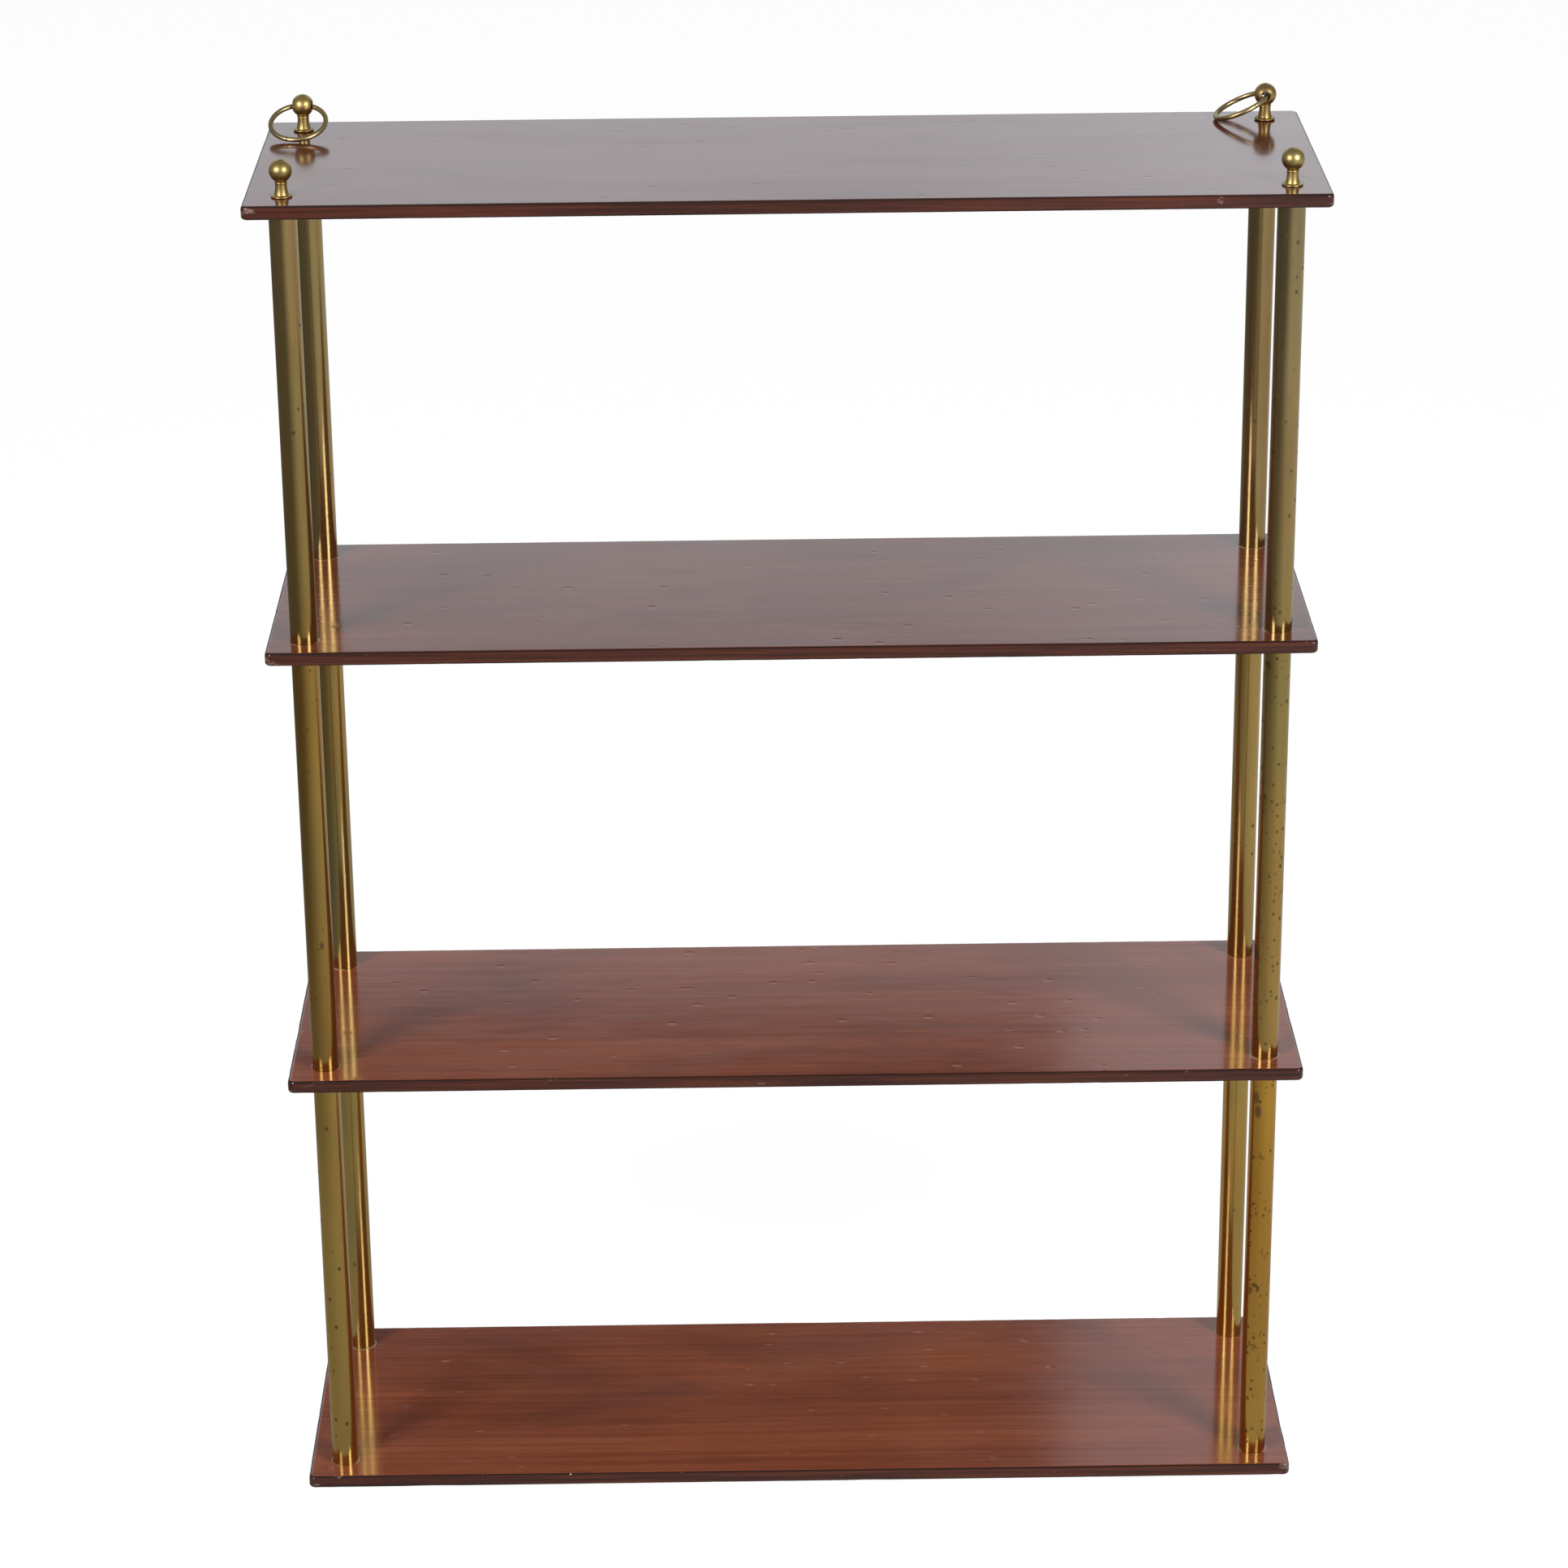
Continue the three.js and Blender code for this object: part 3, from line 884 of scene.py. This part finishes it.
def brass(name, seed, gold, brown, green, specks, polish, stretch=(60.0, 60.0, 5.0), tint=None, stains=()):
    """Old brass: specks is the share of cells with a dot, and a small polish number is a bright shine."""
    finish = Finish(name)
    shift = (seed * 1.7, seed * 0.9, seed * 2.3)
    cloud = finish.noise(finish.stretch((16.0, 16.0, 7.0), shift), detail=4.0, rough=0.55)
    drawn = finish.noise(finish.stretch(stretch, shift), detail=5.0, rough=0.6)
    fine = finish.noise(finish.stretch(tuple(8 * s for s in stretch), shift), detail=3.0, rough=0.6)
    tone = finish.sum("ADD", finish.sum("MULTIPLY", drawn, 0.55), finish.sum("MULTIPLY", cloud, 0.45))
    metal = finish.mix(finish.span(tone, 0.36, 0.66), brown, gold)
    tone_shift = finish.noise(finish.stretch((9.0, 9.0, 6.0), (seed * 5.1, 0, seed)), detail=3.0)
    metal = finish.mix(finish.span(tone_shift, 0.50, 0.70, 0.0, 0.75), metal, green)
    if tint:
        metal = tinted(finish, metal, *tint)

    near, pick = finish.cells(finish.stretch((290.0, 290.0, 230.0), shift))
    chosen, size, _ = finish.part(pick)
    near = finish.sum("ADD", near, finish.sum("MULTIPLY", size, 0.22))
    picked = finish.span(chosen, 1.0 - specks, 1.02 - specks)
    speck = finish.sum("MULTIPLY", finish.span(near, 0.42, 0.22), picked)
    blot = finish.noise(finish.stretch((75.0, 75.0, 48.0), (seed, seed * 4.3, 0)), detail=5.0, rough=0.7)
    blot = finish.span(blot, 0.74 - 0.3 * specks, 0.80 - 0.3 * specks)
    dark = finish.sum("MAXIMUM", speck, blot)
    metal = finish.mix(finish.sum("MULTIPLY", dark, 0.78), metal, SPECK_BROWN)
    for spot, reach in stains:
        metal = finish.mix(stain(finish, spot, reach, drawn), metal, STAIN_BROWN)
    finish.feed(finish.surface.inputs["Base Color"], metal)
    finish.surface.inputs["Metallic"].default_value = 1.0

    gloss = finish.span(tone, 0.34, 0.68, polish + 0.04, polish)
    gloss = finish.sum("ADD", gloss, finish.sum("MULTIPLY", dark, 0.25))
    gloss = finish.sum("ADD", gloss, finish.span(fine, 0.3, 0.7, -0.006, 0.010))
    finish.feed(finish.surface.inputs["Roughness"], gloss)
    wander = finish.noise(finish.stretch((35.0, 35.0, 9.0), shift), detail=1.0)
    skin = finish.bump(wander, 0.12, 0.5 * MM)
    skin = finish.bump(dark, 0.05, 0.03 * MM, skin)
    finish.feed(finish.surface.inputs["Normal"], skin)
    return finish.material


# %% [markdown]
# ## The tubes
# Twelve lengths of thin drawn tube. Each is turned from its wall section, with its cut ends
# just broken, so the seam at the board is a fine dark line. No two have aged alike: those
# lower down and to the right are browner and more spotted, so each tube gets its own finish.

# %% Tube looks
TUBE_WALL = 1 * MM
END_BREAK = 0.15 * MM
TUBE_ROWS, TUBE_STEPS = 12, 96
TUBE_POLISH = 0.17
TUBE_LOOKS = {
    "upper": {"gold": rgb(0.530, 0.390, 0.170), "brown": rgb(0.350, 0.230, 0.090)},
    "middle": {"gold": rgb(0.530, 0.375, 0.130), "brown": rgb(0.370, 0.235, 0.070)},
    "lower": {"gold": rgb(0.660, 0.470, 0.135), "brown": rgb(0.500, 0.310, 0.085)},
}
TUBE_GREEN = rgb(0.360, 0.320, 0.130)
REAR_WARMTH = 0.35
TUBE_WARMTH = {
    "upper_left": (0.75, 0.0), "middle_left": (0.6, 0.8), "lower_left": (0.0, 0.2),
    "upper_right": (0.5, -0.9), "middle_right": (0.4, 0.3), "lower_right": (0.5, 1.3),
}
SPECKS = {"front_left": 0.12, "front_right": 0.45, "rear_left": 0.04, "rear_right": 0.06}


def on_tube(node, height, angle, reach):
    """A place on a tube's outside, by its height above the tube's foot, and a stain's size there."""
    turn = math.radians(angle)
    spot = middle(node) + tube_radius * Vector((math.cos(turn), math.sin(turn), 0))
    spot.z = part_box(node)[0].z + height
    return spot, reach


# A few large stains sit where damp stood longest: (height above the tube's foot, angle, reach).
STAINS = {
    "tube_lower_front_right": [
        on_tube("tube_lower_front_right", 247 * MM, 235, 2.4 * MM),
        on_tube("tube_lower_front_right", 238 * MM, 245, 2.8 * MM),
    ],
    "tube_middle_front_left": [on_tube("tube_middle_front_left", 84 * MM, 285, 2.2 * MM)],
    "tube_middle_front_right": [on_tube("tube_middle_front_right", 70 * MM, 200, 2.0 * MM)],
}


print("stained tubes:", list(STAINS))

# %% [markdown]
# ## Drawing the tubes
# The wall's section is written once, as an outline, and turned about the post's axis. Rows
# along the length keep the faces from being long slivers. The tint runs from each tube's
# foot to its head, and the rear tubes take only a share of it.

# %% Make the tubes
def tube_solid(node):
    low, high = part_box(node)
    inner = tube_radius - TUBE_WALL
    outline = [(inner, low.z + END_BREAK), (inner + END_BREAK, low.z)]
    outline += [(tube_radius - END_BREAK, low.z), (tube_radius, low.z + END_BREAK)]
    for i in range(1, TUBE_ROWS):
        outline.append((tube_radius, low.z + (high.z - low.z) * i / TUBE_ROWS))
    outline += [(tube_radius, high.z - END_BREAK), (tube_radius - END_BREAK, high.z)]
    outline += [(inner + END_BREAK, high.z), (inner, high.z - END_BREAK)]
    solid = turned(outline, TUBE_STEPS)
    spot = middle(node)
    bmesh.ops.translate(solid, verts=solid.verts, vec=(spot.x, spot.y, 0))
    return solid


for index, node in enumerate(TUBES):
    _, bay, corner = node.split("_", 2)
    looks = TUBE_LOOKS[bay]
    specks = SPECKS[corner] * (0.4 if bay == "upper" else 1.0)
    low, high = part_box(node)
    row, side = corner.split("_")
    share = 1.0 if row == "front" else REAR_WARMTH
    tint = (low.z, high.z, [share * warmth for warmth in TUBE_WARMTH[f"{bay}_{side}"]])
    metal = brass(
        f"{node}_brass", index + 2, looks["gold"], looks["brown"], TUBE_GREEN, specks, TUBE_POLISH,
        tint=tint, stains=STAINS.get(node, ()),
    )
    tube = make_piece(f"{node}_drawn", tube_solid(node), metal)
    stand_for(tube, node, "frame")
    print(node, round((high.z - low.z) / MM, 1), "mm long")

# %% [markdown]
# ## The finials
# Each finial is turned from one piece of brass: a thin base flange, a waisted stem, a small
# bead and a ball. A lathe outline turned about the post's axis is the natural way. The rear
# balls are drilled through for a ring, with the mouths of the hole rounded by wear: there
# the ball itself is turned about the hole's axis instead, so the mouth is a true fillet, and
# it is then joined to its stem.

# %% Finial shapes
FINIAL_BALL = 6.5 * MM
BALL_HEIGHT = 14.9 * MM
HOLE_RADIUS = 2.7 * MM
MOUTH_FILLET = 0.55 * MM
BRASS_GOLD = rgb(0.540, 0.400, 0.150)
BRASS_BROWN = rgb(0.320, 0.215, 0.080)
BRASS_GREEN = rgb(0.360, 0.310, 0.120)
STEM_STEPS, BALL_STEPS = 96, 128
FILLET_ROWS, BALL_ROWS = 8, 56
FINIAL_SPECKS = 0.05
FINIAL_POLISH = 0.36


def stem_outline(top):
    """From the bore, out under the flange and up to the neck, written in mm and given in metres."""
    outline = [(0, 7.6), (2.3, 7.6), (2.3, 0.25), (2.55, 0.0), (5.6, 0.0)]
    outline += arc(5.62, 0.56, 0.48, -75, 85, 10)
    outline += [(4.80, 1.10), (4.42, 1.16)]
    outline += arc(26.0, 7.5, 22.7, 195.7, 180, 14)
    outline += [(3.33, 7.68)]
    outline += arc(3.13, 8.18, 0.5, -70, 70, 8)
    outline += [(3.3, 8.78)]
    outline += top
    return [(radius * MM, height * MM) for radius, height in outline]


def plain_finial():
    ball = arc(0, BALL_HEIGHT / MM, FINIAL_BALL / MM, -54, 90, 40)
    ball[-1] = (0.0, ball[-1][1])
    return turned(stem_outline([(3.45, 9.1), *ball]), STEM_STEPS)


def drilled_ball():
    """The ball with its hole along X: bore, worn mouth, ball, worn mouth, in one closed outline."""
    fillet = MOUTH_FILLET
    reach = FINIAL_BALL - fillet
    centre_radius = HOLE_RADIUS + fillet
    centre_along = math.sqrt(reach**2 - centre_radius**2)
    lean = math.degrees(math.atan2(centre_radius, centre_along))
    outline = []
    for side in (1, -1):
        half = []
        for i in range(FILLET_ROWS + 1):
            angle = math.radians(180 - (180 - (90 - lean)) * i / FILLET_ROWS)
            half.append((centre_radius + fillet * math.cos(angle), centre_along + fillet * math.sin(angle)))
        if side == 1:
            outline += half
            start, end = math.radians(lean), math.radians(180 - lean)
            for i in range(1, BALL_ROWS):
                angle = start + (end - start) * i / BALL_ROWS
                outline.append((FINIAL_BALL * math.sin(angle), FINIAL_BALL * math.cos(angle)))
        else:
            outline += [(radius, -along) for radius, along in reversed(half)]
    ball = turned(outline, BALL_STEPS, axis="X")
    bmesh.ops.translate(ball, verts=ball.verts, vec=(0, 0, BALL_HEIGHT))
    return ball


def drilled_stem():
    neck = [(3.45, 9.1), (3.75, 9.5), (3.75, 10.6), (0.0, 10.6)]
    return turned(stem_outline(neck), STEM_STEPS)


print("ball", 2 * FINIAL_BALL / MM, "mm, hole", 2 * HOLE_RADIUS / MM, "mm")

# %% [markdown]
# ## Turning the finials
# The front two are one solid. The rear two are stem and ball joined, turned so that the
# hole lies along the ring's hinge, and they ride on the body that swivels. Turned brass has
# a softer shine than drawn tube, so its polish number is higher.

# %% Make the finials
joints = {joint["name"]: joint for joint in frame["joints"]}


def hole_direction(side):
    """The ring hole's direction in plan: the axis its ring hinges on."""
    axis = joints[f"{side}_ring_hinge"]["axis"]
    return Vector((-axis[0], -axis[1], 0)).normalized()


for index, corner in enumerate(CORNERS):
    node = f"finial_{corner}"
    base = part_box(node)[0].z
    metal = brass(
        f"{node}_brass", 31 + index, BRASS_GOLD, BRASS_BROWN, BRASS_GREEN, FINIAL_SPECKS, FINIAL_POLISH,
        stretch=(90.0, 90.0, 60.0),
    )
    if corner.startswith("front"):
        finial = make_piece(f"{node}_turned", plain_finial(), metal)
        body = "frame"
    else:
        side = corner.split("_")[1]
        finial = make_piece(f"{node}_turned", drilled_stem(), metal)
        combine(finial, drilled_ball(), "UNION")
        finial.data.shade_smooth()
        finial.data.set_sharp_from_angle(angle=CREASE)
        across = hole_direction(side)
        finial.data.transform(Matrix.Rotation(math.atan2(across.y, across.x), 4, "Z"))
        body = f"rear_{side}_finial"
    finial.data.transform(Matrix.Translation((posts[corner].x, posts[corner].y, base)))
    stand_for(finial, node, body)
    print(node, len(finial.data.polygons), "faces")

# %% [markdown]
# ## The rings
# Each ring is a length of round wire bent into a circle with its ends butted. A torus would
# have no joint, so the wire is swept round instead, stopping just short of a full turn, with
# its ends slightly rounded. Years in the ball's hole have made it a little uneven.

# %% Make the rings
RING_RADIUS = 16.2 * MM
WIRE_RADIUS = 1.45 * MM
RING_OFFSET = 0.57 * MM
RING_SINK = 0.5 * MM
SEAM = 0.12 * MM
RING_STEPS = 180
WIRE_STEPS = 28
SEAM_TURNS = {"left": math.radians(-14), "right": math.radians(118)}
RING_GOLD = rgb(0.500, 0.385, 0.190)
RING_BROWN = rgb(0.290, 0.205, 0.095)
RING_GREEN = rgb(0.340, 0.290, 0.140)
RING_SPECKS = 0.04
RING_POLISH = 0.33


def ring_solid(seam_angle, seed):
    """The wire, lying towards -Y, resting low in a hole that runs along X through the origin."""
    solid = bmesh.new()
    gap = SEAM / RING_RADIUS
    ease = 0.25 * MM / RING_RADIUS
    stops = [gap / 2, gap / 2 + ease * 0.4, gap / 2 + ease]
    full_wire = TURN - gap - 2 * ease
    stops = stops + [gap / 2 + ease + full_wire * i / RING_STEPS for i in range(1, RING_STEPS)]
    stops = stops + [TURN - stop for stop in reversed(stops[:3])]
    loops = []
    for index, angle in enumerate(stops):
        from_end = min(index, len(stops) - 1 - index)
        swell = (0.86, 0.96, 1.0)[min(from_end, 2)]
        swell *= 1 + 0.012 * noise.noise(Vector((angle * 3, seed, 0)))
        turn = seam_angle + angle
        out = Vector((math.sin(turn), -math.cos(turn), 0))
        centre = RING_RADIUS * out - Vector((0, RING_RADIUS - RING_OFFSET, RING_SINK))
        radius = WIRE_RADIUS * min(1.0, swell)
        loop = []
        for i in range(WIRE_STEPS):
            a = TURN * i / WIRE_STEPS
            around = math.cos(a) * out + math.sin(a) * Vector((0, 0, 1))
            loop.append(solid.verts.new(centre + radius * around))
        loops.append(loop)
    for a, b in zip(loops, loops[1:]):
        for i in range(WIRE_STEPS):
            j = (i + 1) % WIRE_STEPS
            solid.faces.new((a[i], a[j], b[j], b[i]))
    solid.faces.new(loops[0])
    solid.faces.new(list(reversed(loops[-1])))
    bmesh.ops.recalc_face_normals(solid, faces=solid.faces)
    return solid


for side, seed in (("left", 5), ("right", 9)):
    joint = joints[f"{side}_ring_hinge"]
    hinge = Vector(joint["pos_m"])
    across = hole_direction(side)
    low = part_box(f"ring_{side}")[0].z
    drop = hinge.z - low - WIRE_RADIUS
    reach = 2 * RING_RADIUS - RING_OFFSET
    slope = math.asin(drop / math.hypot(reach, RING_SINK)) - math.atan2(RING_SINK, reach)
    metal = brass(
        f"ring_{side}_brass", 50 + seed, RING_GOLD, RING_BROWN, RING_GREEN, RING_SPECKS, RING_POLISH,
        stretch=(70.0, 70.0, 70.0),
    )
    ring = make_piece(f"ring_{side}_wire", ring_solid(SEAM_TURNS[side], seed), metal)
    ring.data.transform(Matrix.Rotation(slope, 4, "X"))
    ring.data.transform(Matrix.Rotation(math.atan2(across.y, across.x), 4, "Z"))
    ring.data.transform(Matrix.Translation(hinge))
    stand_for(ring, f"ring_{side}", f"{side}_ring")
    print(f"ring_{side} lies down", round(math.degrees(slope), 1), "degrees")

# %% [markdown]
# ## Nuts and rods
# The nuts are low slotted discs, half sunk in the underside, and the shelf stands on them.
# They are turned and the slot is cut across. The tie rods are inside the tubes, so their CAD
# shape stays, with a dull steel finish.

# %% Make the nuts
NUT_SPECKS = 0.12
NUT_POLISH = 0.3
NUT_STEPS = 72
SLOT_WIDE = 1.2 * MM
SLOT_DEEP = 1 * MM


def nut_solid():
    """A rounded disc with a blind bore for the rod, in millimetres from its underside up."""
    outline = [(0, 0), *arc(6.2, 0.8, 0.8, -90, 0, 8), (7.0, 4.4), (6.9, 4.5)]
    outline += [(2.3, 4.5), (2.3, 1.6), (0, 1.6)]
    return turned([(radius * MM, height * MM) for radius, height in outline], NUT_STEPS)


def slot_solid():
    """A bar right across the nut's underside; half of it is below the nut, in the air."""
    cutter = bmesh.new()
    bmesh.ops.create_cube(cutter, size=1.0)
    bmesh.ops.scale(cutter, verts=cutter.verts, vec=(3 * nut_radius, SLOT_WIDE, 2 * SLOT_DEEP))
    return cutter


for index, corner in enumerate(CORNERS):
    node = f"nut_{corner}"
    gold = TUBE_LOOKS["lower"]["gold"]
    metal = brass(
        f"{node}_brass", 71 + index, gold, BRASS_BROWN, TUBE_GREEN, NUT_SPECKS, NUT_POLISH,
        stretch=(80.0, 80.0, 80.0),
    )
    nut = make_piece(f"{node}_turned", nut_solid(), metal)
    combine(nut, slot_solid(), "DIFFERENCE")
    nut.data.transform(Matrix.Translation((posts[corner].x, posts[corner].y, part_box(node)[0].z)))
    stand_for(nut, node, "frame")
    print(node, len(nut.data.polygons), "faces")

# %% [markdown]
# ## Dull steel
# The rods are drawn wire, so faint lines run along them, and a little rust sits in patches.
# They could be made again in a finer shape, but they are out of sight in the tubes. So they
# only get a finish, and their CAD shape is already right.

# %% Rod steel
def steel(name):
    finish = Finish(name)
    drawn = finish.noise(finish.stretch((300.0, 300.0, 6.0)), detail=4.0)
    rust = finish.noise(finish.stretch((60.0, 60.0, 30.0)), detail=5.0, rough=0.65)
    metal = finish.mix(finish.span(drawn, 0.3, 0.7), rgb(0.30, 0.29, 0.28), rgb(0.44, 0.43, 0.41))
    metal = finish.mix(finish.span(rust, 0.55, 0.70, 0.0, 0.7), metal, rgb(0.16, 0.07, 0.035))
    finish.feed(finish.surface.inputs["Base Color"], metal)
    finish.feed(finish.surface.inputs["Roughness"], finish.span(rust, 0.4, 0.7, 0.38, 0.75))
    finish.surface.inputs["Metallic"].default_value = 1.0
    finish.feed(finish.surface.inputs["Normal"], finish.bump(rust, 0.2, 0.05 * MM))
    return finish.material


rod_steel = steel("rod_steel")
for corner in CORNERS:
    rod = frame["nodes"][f"rod_{corner}"]
    rod.data.materials.clear()
    rod.data.materials.append(rod_steel)
    print(rod.name, "in", rod_steel.name)

# %% [markdown]
# ## The size at the end
# The visual model's box is printed here; the CAD model's box was printed at the start.

# %% Print the visual box
low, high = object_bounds()
print("visual box in mm:", [round(x / MM, 1) for x in (high - low)])
